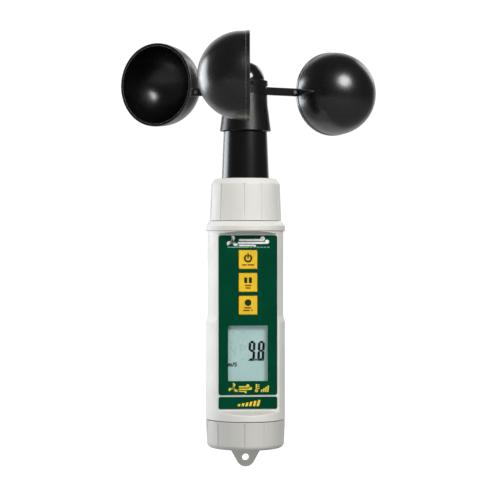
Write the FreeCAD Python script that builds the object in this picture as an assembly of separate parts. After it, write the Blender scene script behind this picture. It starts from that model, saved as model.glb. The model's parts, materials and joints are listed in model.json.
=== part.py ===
"""Handheld weather meter: a pen-shaped case with a three-cup wind rotor on top.

Millimetres. +Z runs up the rotor's spin axis and the front face looks along -Y. The origin is the
centre of the lanyard hole in the lug under the end cap.
"""
import FreeCAD, Part
import math
import os

Vector = FreeCAD.Vector
Z_AXIS = Vector(0, 0, 1)
Y_AXIS = Vector(0, 1, 0)
X_AXIS = Vector(1, 0, 0)

# ---- case: an oval tube, slightly waisted where the fingers hold it
CASE_WIDTH = 36.0
CASE_DEPTH = 41.0
GRIP_WIDTH = 34.4
GRIP_DEPTH = 40.0
WALL = 2.2
SEAM_Z = 17.2            # the end cap meets the case here
SEAM_GAP = 0.3
STEP_Z = 61.6            # the case starts to narrow here
STEP_RISE = 3.0
FLANGE_Z = 102.7         # underside of the full-width flange
FLANGE_EDGE_Z = 105.2
FLANGE_TOP_Z = 107.2
FLANGE_TOP_R = 16.6
FACE_Y = -12.6           # flat front face
FACE_LOW_Z = 21.9
FACE_HIGH_Z = 101.3
LEDGE_SLOPE = 0.2
STEP_ROUNDING = 2.5
FLANGE_ROUNDING = 0.6
RECESS_ROUNDING = 0.5
EDGE_ROUNDING = 0.25
CAVITY_LOW_Z = 24.0
CAVITY_HIGH_Z = 101.6
CAVITY_FRONT_Y = FACE_Y + 1.8
MOUTH_R = 14.5           # round mouth that the end cap plugs into
MOUTH_Y = 3.4

# ---- front panel
LABEL_WIDTH = 26.4
LABEL_T = 0.4
LABEL_LOW_Z = 29.1
LABEL_HIGH_Z = 100.8
PLATE_LOW_Z = 22.8
PLATE_HIGH_Z = 28.3
CORNER_R = 1.0
KEY_SIZE = 8.4
KEY_GAP = 0.2
KEY_PITCH = 10.25
TOP_KEY_Z = 89.9
KEY_PROUD = 0.35
KEY_STOP_T = 0.6
KEY_NAMES = ("key_power", "key_hold", "key_record")
WINDOW_WIDTH = 17.9
WINDOW_HEIGHT = 24.9
WINDOW_Z = 47.8
WINDOW_RIM = 1.6           # hidden border that the window is glued in by
WINDOW_RIM_T = 1.08
WINDOW_GAP = 0.1

# ---- circuit board and display
BOARD_FRONT_Y = -8.0
BOARD_T = 1.2
BOARD_WIDTH = 25.0
BOARD_LOW_Z = 25.5
BOARD_HIGH_Z = 99.0
GLASS_WIDTH = 21.0
GLASS_HEIGHT = 28.4
BOSS_R = 2.2
BOSS_X = 9.8
BOSS_Z = (28.2, 96.8)
SCREW_R = 0.95
SCREW_HEAD_R = 1.9

# ---- end cap, battery tray and cells
CAP_LOW_Z = 4.5
CAP_FLOOR_Z = 6.8
CAP_LOW_WIDTH = 34.9
CAP_LOW_DEPTH = 39.9
CAP_ROUNDING = 2.4
LUG_HOLE_R = 1.6
LUG_END_R = 4.3
LUG_HALF_WIDTH = 7.4
LUG_T = 2.8
LUG_ROUNDING = 0.5
SPIGOT_R = 14.3
SPIGOT_BORE_R = 12.6
SPIGOT_HIGH_Z = 22.6
SEAL_Z = 19.9
SEAL_R = 0.68
TRAY_WIDTH = 22.4
TRAY_Y = (-1.2, 8.4)
TRAY_BASE_Z = 10.8
TRAY_HIGH_Z = 68.6
TRAY_SCREW_X = 9.0
CELL_R = 10.0
CELL_T = 3.2
CELL_CENTRES_Z = (34.0, 56.5)

# ---- grooves around the end cap and the collar: five pairs, unevenly spaced
GROOVE_FIRST_DEG = -79.5
GROOVE_PAIR_DEG = 72.0
GROOVE_SPLIT_DEG = 30.0
GROOVE_DEPTH = 0.45

# ---- collar and neck
COLLAR_LOW_R = 16.3
COLLAR_HIGH_R = 15.65
COLLAR_TOP_R = 13.9
COLLAR_LOW_Z = 107.45
COLLAR_EDGE_Z = 124.2
COLLAR_TOP_Z = 126.6
NECK_LOW_Z = 117.0
NECK_TOP_Z = 148.0
NECK_LOW_R = 11.15
NECK_TOP_R = 9.9
NECK_FOOT_R = 13.5
NECK_BORE_R = 11.0
SEAT_Z = 112.6           # top of the case's spigot, under the neck seal
NECK_FOOT_Z = 113.2
NECK_DECK_Z = 145.6
POST_R = 6.4
POST_TOP_Z = 162.4
COLLAR_BORE_R = 11.5

# ---- bearings and shaft
SHAFT_R = 1.5
SHAFT_LOW_Z = 143.6
SHAFT_TOP_Z = 172.6
BEARING_R = 5.0
BEARING_T = 4.0
BEARING_ZS = (149.0, 158.2)
BALL_R = 0.72
BALL_CIRCLE_R = 3.25
BALL_COUNT = 8
MAGNET_R = 4.0
SENSOR_BOARD_Z = 138.0

# ---- rotor
ROTOR_TURN_DEG = -5.0    # rest angle of the rotor about the spin axis
SKIRT_LOW_Z = 148.3
SKIRT_LOW_R = 11.65
SKIRT_TOP_Z = 165.1
SKIRT_TOP_R = 9.5
RING_R = 9.8
LIP_Z = 168.9
LIP_R = 10.2
HUB_TOP_Z = 171.2
HUB_WEB_Z = 163.6
DOME_R = 8.7
DOME_WALL = 1.3
ARM_Z = 167.05
ARM_HEIGHT = 3.6
ARM_T = 3.0
ARM_ROOT_R = 6.2
ARM_END_R = 27.9
TONGUE_T = 1.1
TONGUE_ROOT_R = 22.4
PIN_AT_R = 25.6
PIN_R = 0.6
CUP_AT_R = 47.3
CUP_RISE = {"front": 2.4, "right": 0.1, "left": 4.3}   # each cup's middle above its arm
CUP_R = 19.2
CUP_WALL = 1.0
CUP_SKIRT = 1.7          # straight wall behind the arm's centre line
CUP_RIM = 1.8            # rim plane in front of the arm's centre line
CUP_LIP_R = CUP_R + 0.25
LIP_ROUNDING = 0.2
ARM_ANGLES = {"front": -90.0, "right": 30.0, "left": 150.0}


def cylinder(radius, low_z, high_z, x=0.0, y=0.0):
    return Part.makeCylinder(radius, high_z - low_z, Vector(x, y, low_z), Z_AXIS)


def cone(low_r, high_r, low_z, high_z):
    return Part.makeCone(low_r, high_r, high_z - low_z, Vector(0, 0, low_z), Z_AXIS)


def box(x, y, z):
    """A box from three (low, high) pairs."""
    return Part.makeBox(x[1] - x[0], y[1] - y[0], z[1] - z[0], Vector(x[0], y[0], z[0]))


def plate(width, low_z, high_z, low_y, high_y, corner):
    """An upright plate facing -Y, with rounded corners."""
    solid = box((-width / 2, width / 2), (low_y, high_y), (low_z, high_z))
    if not corner:
        return solid
    upright = [e for e in solid.Edges if abs(e.tangentAt(e.FirstParameter).y) > 0.99]
    return solid.makeFillet(corner, upright)


def oval(width, depth, z):
    """A closed outline, round or deeper than wide, centred on the spin axis."""
    if depth > width:
        curve = Part.Ellipse(Vector(0, depth / 2, z), Vector(width / 2, 0, z), Vector(0, 0, z))
    else:
        curve = Part.Circle(Vector(0, 0, z), Z_AXIS, width / 2)
        curve.rotate(FreeCAD.Placement(Vector(0, 0, 0), FreeCAD.Rotation(Z_AXIS, 90)))
    return Part.Wire([curve.toShape()])


def oval_stack(sections):
    """A solid through (width, depth, z) ovals, straight from each to the next."""
    solid = None
    for lower, upper in zip(sections, sections[1:]):
        part = Part.makeLoft([oval(*lower), oval(*upper)], True, True)
        solid = part if solid is None else solid.fuse(part)
    return solid.removeSplitter()


def level_edges(solid, z):
    """The edges that lie in the horizontal plane at z."""
    return [e for e in solid.Edges if e.BoundBox.ZLength < 0.01 and abs(e.BoundBox.ZMin - z) < 0.01]


def turned(shape, degrees):
    result = shape.copy()
    result.rotate(Vector(0, 0, 0), Z_AXIS, degrees)
    return result


def union(shapes):
    return shapes[0].multiFuse(shapes[1:]).removeSplitter()


def group(shapes):
    return Part.Compound(shapes)


def groove_angles():
    """Groove places in degrees from the front, + to the right."""
    angles = []
    for pair in range(5):
        first = GROOVE_FIRST_DEG + pair * GROOVE_PAIR_DEG
        angles += [first, first + GROOVE_SPLIT_DEG]
    return angles


def cut_grooves(solid, low, high):
    """Cut shallow upright V grooves. low and high are (width, depth, z) ovals of the wall."""
    cutters = []
    for angle in groove_angles():
        t = math.radians(angle)
        ends = []
        for width, depth, z in (low, high):
            ends.append(Vector(width / 2 * math.sin(t), -depth / 2 * math.cos(t), z))
        axis = ends[1] - ends[0]
        normal = Vector(math.sin(t) / low[0], -math.cos(t) / low[1], 0).normalize()
        side = Z_AXIS.cross(normal)
        corners = []
        for out, across in ((-GROOVE_DEPTH, 0), (0.5, GROOVE_DEPTH + 0.5), (0.5, -GROOVE_DEPTH - 0.5)):
            corners.append(ends[0] + normal * out + side * across)
        face = Part.Face(Part.makePolygon(corners + corners[:1]))
        cutters.append(face.extrude(axis))
    return solid.cut(Part.Compound(cutters))


# ------------------------------------------------------------------ case
def case_outline():
    low_z = SEAM_Z + SEAM_GAP
    tube = oval_stack([
        (CASE_WIDTH, CASE_DEPTH, low_z),
        (CASE_WIDTH, CASE_DEPTH, STEP_Z),
        (GRIP_WIDTH, GRIP_DEPTH, STEP_Z + STEP_RISE),
        (GRIP_WIDTH, GRIP_DEPTH, FLANGE_Z + 1),
    ])
    step_edges = level_edges(tube, STEP_Z) + level_edges(tube, STEP_Z + STEP_RISE)
    tube = tube.makeFillet(STEP_ROUNDING, step_edges)
    tube = tube.makeFillet(EDGE_ROUNDING, level_edges(tube, low_z))
    flange = oval_stack([
        (CASE_WIDTH, CASE_DEPTH, FLANGE_Z),
        (CASE_WIDTH, CASE_DEPTH, FLANGE_EDGE_Z),
        (2 * FLANGE_TOP_R, 2 * FLANGE_TOP_R, FLANGE_TOP_Z),
    ])
    rims = level_edges(flange, FLANGE_Z) + level_edges(flange, FLANGE_EDGE_Z)
    return tube.fuse(flange.makeFillet(FLANGE_ROUNDING, rims))


def front_recess():
    """Everything cut away in front of the flat face, between the two sloping ledges."""
    reach = 14.0
    outline = [
        Vector(-30, FACE_Y, FACE_LOW_Z),
        Vector(-30, FACE_Y, FACE_HIGH_Z),
        Vector(-30, FACE_Y - reach, FACE_HIGH_Z + reach * LEDGE_SLOPE),
        Vector(-30, FACE_Y - reach, FACE_LOW_Z - reach * LEDGE_SLOPE),
    ]
    return Part.Face(Part.makePolygon(outline + outline[:1])).extrude(X_AXIS * 60)


def case_cavity():
    inner = oval_stack([
        (GRIP_WIDTH - 2 * WALL, GRIP_DEPTH - 2 * WALL, CAVITY_LOW_Z),
        (GRIP_WIDTH - 2 * WALL, GRIP_DEPTH - 2 * WALL, CAVITY_HIGH_Z),
    ])
    behind_face = box((-30, 30), (CAVITY_FRONT_Y, 30), (CAVITY_LOW_Z - 1, CAVITY_HIGH_Z + 1))
    return inner.common(behind_face)


def key_centres():
    return [TOP_KEY_Z - i * KEY_PITCH for i in range(len(KEY_NAMES))]


def board_bosses(radius, low_y, high_y):
    bosses = []
    for x in (-BOSS_X, BOSS_X):
        for z in BOSS_Z:
            bosses.append(Part.makeCylinder(radius, high_y - low_y, Vector(x, low_y, z), Y_AXIS))
    return bosses


def recess_edges(solid):
    """The two long sides of the flat face and the curved rims of both ledges."""
    sides = [e for e in solid.Edges if abs(e.BoundBox.YMax - FACE_Y) < 0.05
             and e.BoundBox.YLength < 0.05 and e.BoundBox.ZLength > 0.3]
    low_rim = [e for e in solid.Edges if e.BoundBox.ZMax < FACE_LOW_Z + 0.05
               and e.BoundBox.ZMin > SEAM_Z + 1.5 and e.BoundBox.YLength > 5]
    return sides + low_rim


def housing():
    shell = case_outline().cut(front_recess())
    shell = shell.makeFillet(RECESS_ROUNDING, recess_edges(shell))
    shell = shell.cut(case_cavity())
    shell = shell.cut(cylinder(MOUTH_R, SEAM_Z - 1, CAVITY_LOW_Z + 0.5, y=MOUTH_Y))
    spigot = cylinder(NECK_FOOT_R, FLANGE_TOP_Z - 1, SEAT_Z)
    shell = shell.multiFuse([spigot] + board_bosses(BOSS_R, CAVITY_FRONT_Y - 0.2, BOARD_FRONT_Y))
    shell = shell.cut(cylinder(NECK_BORE_R, CAVITY_HIGH_Z - 1, SEAT_Z + 1))
    cuts = board_bosses(SCREW_R + 0.03, CAVITY_FRONT_Y + 0.2, BOARD_FRONT_Y + 1)
    hole = KEY_SIZE + 2 * KEY_GAP
    for z in key_centres():
        cuts.append(plate(hole, z - hole / 2, z + hole / 2, FACE_Y - 1, CAVITY_FRONT_Y + 1, 0.8))
    low, high = WINDOW_Z - WINDOW_HEIGHT / 2, WINDOW_Z + WINDOW_HEIGHT / 2
    opening = (0.4, CAVITY_FRONT_Y + 1)
    seat = (WINDOW_RIM + WINDOW_GAP, FACE_Y + WINDOW_RIM_T + 0.02)
    for margin, back_y in (opening, seat):
        cuts.append(plate(WINDOW_WIDTH + 2 * margin, low - margin, high + margin, FACE_Y - 1, back_y, 1.0))
    return shell.cut(Part.Compound(cuts))


# ------------------------------------------------------------------ front panel
def label_panel():
    panel = plate(LABEL_WIDTH, LABEL_LOW_Z, LABEL_HIGH_Z, FACE_Y - LABEL_T, FACE_Y, CORNER_R)
    hole = KEY_SIZE + 2 * KEY_GAP
    for z in key_centres():
        panel = panel.cut(plate(hole, z - hole / 2, z + hole / 2, FACE_Y - 1, FACE_Y + 1, 0.5))
    low, high = WINDOW_Z - WINDOW_HEIGHT / 2, WINDOW_Z + WINDOW_HEIGHT / 2
    return panel.cut(plate(WINDOW_WIDTH, low, high, FACE_Y - 1, FACE_Y + 1, 0.5))


def model_plate():
    return plate(LABEL_WIDTH, PLATE_LOW_Z, PLATE_HIGH_Z, FACE_Y - LABEL_T, FACE_Y, CORNER_R * 0.8)


def display_window():
    low, high = WINDOW_Z - WINDOW_HEIGHT / 2, WINDOW_Z + WINDOW_HEIGHT / 2
    rim = plate(WINDOW_WIDTH + 2 * WINDOW_RIM, low - WINDOW_RIM, high + WINDOW_RIM, FACE_Y,
                FACE_Y + WINDOW_RIM_T, 0.9)
    raised = plate(WINDOW_WIDTH - 2 * WINDOW_GAP, low + WINDOW_GAP, high - WINDOW_GAP,
                   FACE_Y - LABEL_T + WINDOW_GAP, FACE_Y + 0.5, 0.4)
    return union([rim, raised])


def key(z):
    half = KEY_SIZE / 2
    front = FACE_Y - LABEL_T - KEY_PROUD
    back = CAVITY_FRONT_Y + 0.12
    cap = plate(KEY_SIZE, z - half, z + half, front, back, 0.5)
    front_edges = [e for e in cap.Edges if e.BoundBox.YMax < front + 0.01]
    cap = cap.makeFillet(0.25, front_edges)
    stop = plate(KEY_SIZE + 1.4, z - half - 0.7, z + half + 0.7, back, back + KEY_STOP_T, 0.5)
    plunger = Part.makeCylinder(1.5, 1.2, Vector(0, CAVITY_FRONT_Y + 0.4, z), Y_AXIS)
    return union([cap, stop, plunger])


# ------------------------------------------------------------------ display and board
def display_frame():
    half = GLASS_HEIGHT / 2
    outer = plate(GLASS_WIDTH + 3.0, WINDOW_Z - half - 1.5, WINDOW_Z + half + 1.5, -10.6,
                  BOARD_FRONT_Y, 1.0)
    inner = box((-GLASS_WIDTH / 2 - 0.1, GLASS_WIDTH / 2 + 0.1), (-12, -7),
                (WINDOW_Z - half - 0.1, WINDOW_Z + half + 0.1))
    return outer.cut(inner)


def display_glass():
    half = GLASS_HEIGHT / 2
    return plate(GLASS_WIDTH, WINDOW_Z - half, WINDOW_Z + half, -10.5, -8.7, 0)


def contact_strips():
    """Rubber strips that join the display glass to the board."""
    half = GLASS_HEIGHT / 2
    strips = []
    for z in (WINDOW_Z - half + 0.3, WINDOW_Z + half - 2.3):
        strips.append(box((-9.5, 9.5), (-8.7, BOARD_FRONT_Y), (z, z + 2.0)))
    return group(strips)


def main_board():
    board = plate(BOARD_WIDTH, BOARD_LOW_Z, BOARD_HIGH_Z, BOARD_FRONT_Y, BOARD_FRONT_Y + BOARD_T, 1.0)
    return board.cut(Part.Compound(board_bosses(SCREW_R + 0.15, BOARD_FRONT_Y - 1, -6.0)))


def board_screws():
    screws = []
    seat = BOARD_FRONT_Y + BOARD_T
    for x in (-BOSS_X, BOSS_X):
        for z in BOSS_Z:
            shank = Part.makeCylinder(SCREW_R, 3.4, Vector(x, seat - 3.4, z), Y_AXIS)
            head = Part.makeCylinder(SCREW_HEAD_R, 1.2, Vector(x, seat, z), Y_AXIS)
            slot = box((x - 2.5, x + 2.5), (seat + 0.7, seat + 2), (z - 0.25, z + 0.25))
            screws.append(union([head, shank]).cut(slot))
    return group(screws)


def key_switches():
    switches = []
    for z in key_centres():
        base = box((-2.6, 2.6), (BOARD_FRONT_Y - 0.45, BOARD_FRONT_Y), (z - 2.6, z + 2.6))
        button = Part.makeCylinder(1.6, 0.4, Vector(0, BOARD_FRONT_Y - 0.7, z), Y_AXIS)
        switches.append(union([base, button]))
    return group(switches)


def board_components():
    back = BOARD_FRONT_Y + BOARD_T
    parts = [
        box((-4.5, 4.5), (back, back + 1.4), (70, 79)),
        box((4.8, 8.0), (back, back + 1.1), (83, 87)),
        box((-8.6, -4.2), (back, back + 1.6), (84, 88)),
        box((-3.5, 3.5), (back, back + 2.4), (91.5, 94.5)),
        Part.makeCylinder(1.6, 2.2, Vector(9.3, back, 62), Y_AXIS),
    ]
    return group(parts)


def board_contacts():
    """Two leaf springs on the board that touch the battery tray's terminals."""
    leaves = []
    back = BOARD_FRONT_Y + BOARD_T
    for x in (-7.0, 7.0):
        foot = box((x - 1.2, x + 1.2), (back, back + 0.3), (44, 49))
        leg = box((x - 1.2, x + 1.2), (back, -1.95), (44, 44.3))
        tip = box((x - 1.2, x + 1.2), (-2.25, -1.95), (44, 48))
        leaves.append(union([foot, leg, tip]))
    return group(leaves)


# ------------------------------------------------------------------ end cap and batteries
def cap_outline():
    sections = [
        (CAP_LOW_WIDTH, CAP_LOW_DEPTH, CAP_LOW_Z),
        (CASE_WIDTH, CASE_DEPTH, SEAM_Z),
    ]
    solid = oval_stack(sections)
    solid = solid.makeFillet(CAP_ROUNDING, level_edges(solid, CAP_LOW_Z))
    solid = solid.makeFillet(EDGE_ROUNDING, level_edges(solid, SEAM_Z))
    drop = (SEAM_Z - CAP_LOW_Z) / 12
    low = (CAP_LOW_WIDTH + (CASE_WIDTH - CAP_LOW_WIDTH) * 2 / 12,
           CAP_LOW_DEPTH + (CASE_DEPTH - CAP_LOW_DEPTH) * 2 / 12, CAP_LOW_Z + 2 * drop)
    return cut_grooves(solid, low, (CASE_WIDTH, CASE_DEPTH, SEAM_Z - 0.6))


def lug():
    top = CAP_LOW_Z + 1.5
    plate_y = -LUG_T / 2
    reach = math.hypot(LUG_HALF_WIDTH, CAP_LOW_Z)
    lean = math.atan2(LUG_HALF_WIDTH, CAP_LOW_Z) + math.acos(LUG_END_R / reach)
    side = (LUG_END_R * math.sin(lean), LUG_END_R * math.cos(lean))
    outline = [
        Vector(-LUG_HALF_WIDTH, plate_y, top),
        Vector(-LUG_HALF_WIDTH, plate_y, CAP_LOW_Z),
        Vector(-side[0], plate_y, side[1]),
        Vector(side[0], plate_y, side[1]),
        Vector(LUG_HALF_WIDTH, plate_y, CAP_LOW_Z),
        Vector(LUG_HALF_WIDTH, plate_y, top),
    ]
    web = Part.Face(Part.makePolygon(outline + outline[:1])).extrude(Y_AXIS * LUG_T)
    end = Part.makeCylinder(LUG_END_R, LUG_T, Vector(0, plate_y, 0), Y_AXIS)
    plate_solid = union([web, end])
    rims = [e for e in plate_solid.Edges if e.BoundBox.YLength < 0.01 and e.BoundBox.ZMin < CAP_LOW_Z]
    return plate_solid.makeFillet(LUG_ROUNDING, rims)


def tray_posts(radius, low_z, high_z):
    return [cylinder(radius, low_z, high_z, x, MOUTH_Y) for x in (-TRAY_SCREW_X, TRAY_SCREW_X)]


def end_cap():
    shell = cap_outline().cut(oval_stack([
        (CAP_LOW_WIDTH - 2 * WALL, CAP_LOW_DEPTH - 2 * WALL, CAP_FLOOR_Z),
        (CASE_WIDTH - 2 * WALL, CASE_DEPTH - 2 * WALL, SEAM_Z + 0.01),
    ]))
    spigot = cylinder(SPIGOT_R, CAP_FLOOR_Z - 0.5, SPIGOT_HIGH_Z, y=MOUTH_Y)
    shell = union([shell, spigot, lug()])
    shell = shell.cut(cylinder(SPIGOT_BORE_R, CAP_FLOOR_Z, SPIGOT_HIGH_Z + 1, y=MOUTH_Y))
    shell = union([shell] + tray_posts(2.4, CAP_FLOOR_Z - 0.5, TRAY_BASE_Z))
    groove = cylinder(SPIGOT_R + 1, SEAL_Z - 0.8, SEAL_Z + 0.8, y=MOUTH_Y)
    groove = groove.cut(cylinder(SPIGOT_R - 1.2, SEAL_Z - 1, SEAL_Z + 1, y=MOUTH_Y))
    holes = tray_posts(SCREW_R + 0.03, CAP_FLOOR_Z + 0.4, TRAY_BASE_Z + 1)
    hole = Part.makeCylinder(LUG_HOLE_R, 10, Vector(0, -5, 0), Y_AXIS)
    return shell.cut(Part.Compound([groove, hole] + holes))


def cap_seal():
    return Part.makeTorus(SPIGOT_R - 1.2 + SEAL_R + 0.02, SEAL_R, Vector(0, MOUTH_Y, SEAL_Z), Z_AXIS)


def battery_tray():
    middle = (TRAY_Y[0] + TRAY_Y[1]) / 2
    base = cylinder(SPIGOT_BORE_R - 0.2, TRAY_BASE_Z, TRAY_BASE_Z + 2, y=MOUTH_Y)
    frame = plate(TRAY_WIDTH, TRAY_BASE_Z + 1, TRAY_HIGH_Z, TRAY_Y[0], TRAY_Y[1], 2.0)
    tray = union([base, frame])
    holes = tray_posts(SCREW_R + 0.15, TRAY_BASE_Z - 1, TRAY_BASE_Z + 3)
    access = tray_posts(SCREW_HEAD_R + 0.3, TRAY_BASE_Z + 2, TRAY_BASE_Z + 9)
    pockets = []
    for z in CELL_CENTRES_Z:
        pockets.append(Part.makeCylinder(CELL_R + 0.15, 8.2, Vector(0, TRAY_Y[0] - 1, z), Y_AXIS))
        pockets.append(Part.makeCylinder(6.0, 20, Vector(0, middle - 10, z), Y_AXIS))
    return tray.cut(Part.Compound(holes + access + pockets))


def coin_cells():
    cells = []
    for z in CELL_CENTRES_Z:
        for layer in range(2):
            low_y = TRAY_Y[0] + 0.5 + layer * (CELL_T + 0.05)
            can = Part.makeCylinder(CELL_R, CELL_T, Vector(0, low_y, z), Y_AXIS)
            rim = [e for e in can.Edges if len(e.Vertexes) == 1]
            cells.append(can.makeFillet(0.3, rim))
    return group(cells)


def cell_terminals():
    """Metal straps over the front of the cells."""
    straps = []
    for z in CELL_CENTRES_Z:
        straps.append(box((-8.4, 8.4), (TRAY_Y[0] + 0.15, TRAY_Y[0] + 0.45), (z - 2, z + 2)))
    return group(straps)


def tray_screws():
    screws = []
    for x in (-TRAY_SCREW_X, TRAY_SCREW_X):
        head = cylinder(SCREW_HEAD_R, TRAY_BASE_Z + 2, TRAY_BASE_Z + 3.2, x, MOUTH_Y)
        shank = cylinder(SCREW_R, TRAY_BASE_Z - 3, TRAY_BASE_Z + 2, x, MOUTH_Y)
        slot = box((x - 2.5, x + 2.5), (MOUTH_Y - 0.25, MOUTH_Y + 0.25),
                   (TRAY_BASE_Z + 2.7, TRAY_BASE_Z + 4))
        screws.append(union([head, shank]).cut(slot))
    return group(screws)


# ------------------------------------------------------------------ collar and neck
def collar():
    wall = union([
        cone(COLLAR_LOW_R, COLLAR_HIGH_R, COLLAR_LOW_Z, COLLAR_EDGE_Z),
        cone(COLLAR_HIGH_R, COLLAR_TOP_R, COLLAR_EDGE_Z, COLLAR_TOP_Z),
    ])
    wall = wall.makeFillet(1.5, level_edges(wall, COLLAR_EDGE_Z))
    wall = wall.makeFillet(EDGE_ROUNDING, level_edges(wall, COLLAR_LOW_Z))
    low = (2 * COLLAR_LOW_R, 2 * COLLAR_LOW_R, COLLAR_LOW_Z - 0.1)
    high = (2 * COLLAR_HIGH_R, 2 * COLLAR_HIGH_R, COLLAR_EDGE_Z)
    wall = cut_grooves(wall, low, high)
    wall = wall.cut(cylinder(NECK_FOOT_R + 0.3, COLLAR_LOW_Z - 1, NECK_LOW_Z + 0.3))
    wall = wall.cut(cylinder(COLLAR_BORE_R, NECK_LOW_Z, COLLAR_TOP_Z + 1))
    return wall.makeFillet(EDGE_ROUNDING * 2, level_edges(wall, COLLAR_TOP_Z))


def neck():
    tube = union([
        cylinder(NECK_FOOT_R, NECK_FOOT_Z, NECK_LOW_Z),
        cone(NECK_LOW_R, NECK_TOP_R, NECK_LOW_Z, NECK_TOP_Z),
        cylinder(POST_R, NECK_TOP_Z - 1, POST_TOP_Z),
    ])
    tube = tube.cut(cylinder(8.4, NECK_FOOT_Z - 1, NECK_DECK_Z))
    tube = tube.cut(cylinder(2.9, NECK_DECK_Z - 1, POST_TOP_Z + 1))
    return tube.cut(cylinder(BEARING_R + 0.01, BEARING_ZS[0], POST_TOP_Z + 1))


def neck_seal():
    ring = cylinder(NECK_FOOT_R - 0.3, SEAT_Z, NECK_FOOT_Z)
    return ring.cut(cylinder(NECK_BORE_R + 0.4, SEAT_Z - 1, NECK_FOOT_Z + 1))


def sensor_board():
    board = cylinder(8.3, SENSOR_BOARD_Z, SENSOR_BOARD_Z + 1.0)
    chip = box((-1.6, 1.6), (2.0, 4.8), (SENSOR_BOARD_Z + 1.0, SENSOR_BOARD_Z + 2.2))
    return union([board, chip])


def temperature_sensor():
    """A glass bead on two stiff wires, held in the air under the sensor board."""
    bead = Part.makeSphere(1.2, Vector(4.5, 0, 128.0))
    wires = [cylinder(0.3, 128.0, SENSOR_BOARD_Z, 4.5 + x) for x in (-0.6, 0.6)]
    return union([bead] + wires)


def sensor_lead():
    """The lead from the wind sensor down the neck to the main board's socket."""
    turn_r = 3.0
    socket_y = BOARD_FRONT_Y + BOARD_T + 1.2
    path = Part.Wire([
        Part.LineSegment(Vector(0, 0, SENSOR_BOARD_Z), Vector(0, 0, 107)).toShape(),
        Part.Arc(Vector(0, 0, 107), Vector(0, -turn_r * (1 - math.cos(math.pi / 4)),
                 107 - turn_r * math.sin(math.pi / 4)), Vector(0, -turn_r, 107 - turn_r)).toShape(),
        Part.Arc(Vector(0, -turn_r, 104), Vector(0, socket_y + 2.6 * (1 - math.sin(math.pi / 4)),
                 101.4 + 2.6 * math.cos(math.pi / 4)), Vector(0, socket_y, 101.4)).toShape(),
        Part.LineSegment(Vector(0, socket_y, 101.4), Vector(0, socket_y, 94.5)).toShape(),
    ])
    section = Part.Wire([Part.makeCircle(0.7, Vector(0, 0, SENSOR_BOARD_Z), Z_AXIS)])
    return path.makePipeShell([section], True, False)


# ------------------------------------------------------------------ bearings, shaft and rotor
def bearing_ring(inner_r, outer_r):
    rings = []
    for z in BEARING_ZS:
        ring = cylinder(outer_r, z, z + BEARING_T).cut(cylinder(inner_r, z - 1, z + BEARING_T + 1))
        track = Part.makeTorus(BALL_CIRCLE_R, BALL_R + 0.05, Vector(0, 0, z + BEARING_T / 2), Z_AXIS)
        rings.append(ring.cut(track))
    return group(rings)


def bearing_balls():
    balls = []
    for z in BEARING_ZS:
        for i in range(BALL_COUNT):
            t = 2 * math.pi * i / BALL_COUNT
            centre = Vector(BALL_CIRCLE_R * math.cos(t), BALL_CIRCLE_R * math.sin(t), z + BEARING_T / 2)
            balls.append(Part.makeSphere(BALL_R, centre))
    return group(balls)


def rotor_shaft():
    return cylinder(SHAFT_R, SHAFT_LOW_Z, SHAFT_TOP_Z)


def bearing_spacer():
    low, high = BEARING_ZS[0] + BEARING_T, BEARING_ZS[1]
    return cylinder(2.4, low, high).cut(cylinder(SHAFT_R, low - 1, high + 1))


def shaft_clip():
    clip = cylinder(2.6, 148.2, 148.8).cut(cylinder(SHAFT_R, 148, 149))
    return clip.cut(box((-0.8, 0.8), (0, 4), (148, 149)))


def magnet():
    return cylinder(MAGNET_R, 141.2, SHAFT_LOW_Z)


def rotor_hub():
    skirt = cone(SKIRT_LOW_R, SKIRT_TOP_R, SKIRT_LOW_Z, SKIRT_TOP_Z)
    skirt = skirt.makeFillet(EDGE_ROUNDING, level_edges(skirt, SKIRT_LOW_Z))
    lip = cylinder(LIP_R, LIP_Z, HUB_TOP_Z)
    lip = lip.makeFillet(EDGE_ROUNDING, level_edges(lip, LIP_Z) + level_edges(lip, HUB_TOP_Z))
    outer = union([skirt, cylinder(RING_R, SKIRT_TOP_Z, LIP_Z), lip])
    pads = []
    slots = []
    for angle in ARM_ANGLES.values():
        outline = [
            Vector(5, -3.8, SKIRT_TOP_Z + 1), Vector(5, 3.8, SKIRT_TOP_Z + 1),
            Vector(5, 3.8, SKIRT_TOP_Z), Vector(5, 2.3, 160.0), Vector(5, -2.3, 160.0),
            Vector(5, -3.8, SKIRT_TOP_Z),
        ]
        pad = Part.Face(Part.makePolygon(outline + outline[:1])).extrude(X_AXIS * 20)
        reach = cone(SKIRT_LOW_R + 0.5, SKIRT_TOP_R + 0.5, SKIRT_LOW_Z, SKIRT_TOP_Z)
        pads.append(turned(pad.common(reach), angle))
        socket = box((ARM_ROOT_R - 0.05, 12), (-ARM_T / 2 - 0.05, ARM_T / 2 + 0.05),
                     (ARM_Z - ARM_HEIGHT / 2 - 0.05, ARM_Z + ARM_HEIGHT / 2 + 0.05))
        notch = box((LIP_R - 0.9, 12), (-3.7, 3.7), (LIP_Z + 0.25, LIP_Z + 1.35))
        slots += [turned(socket, angle), turned(notch, angle)]
    hub = union([outer] + pads)
    bell = cone(SKIRT_LOW_R - 1.6, SKIRT_TOP_R - 1.6, SKIRT_LOW_Z, SKIRT_TOP_Z)
    bell = bell.common(cylinder(20, SKIRT_LOW_Z - 1, HUB_WEB_Z))
    pocket = cylinder(DOME_R - 1.2, LIP_Z + 0.4, HUB_TOP_Z + 1)
    nose = cylinder(2.4, BEARING_ZS[1] + BEARING_T, HUB_WEB_Z + 0.5)
    hub = union([hub.cut(bell), nose])
    return hub.cut(Part.Compound([pocket, cylinder(SHAFT_R + 0.02, 160, HUB_TOP_Z)] + slots))


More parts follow.
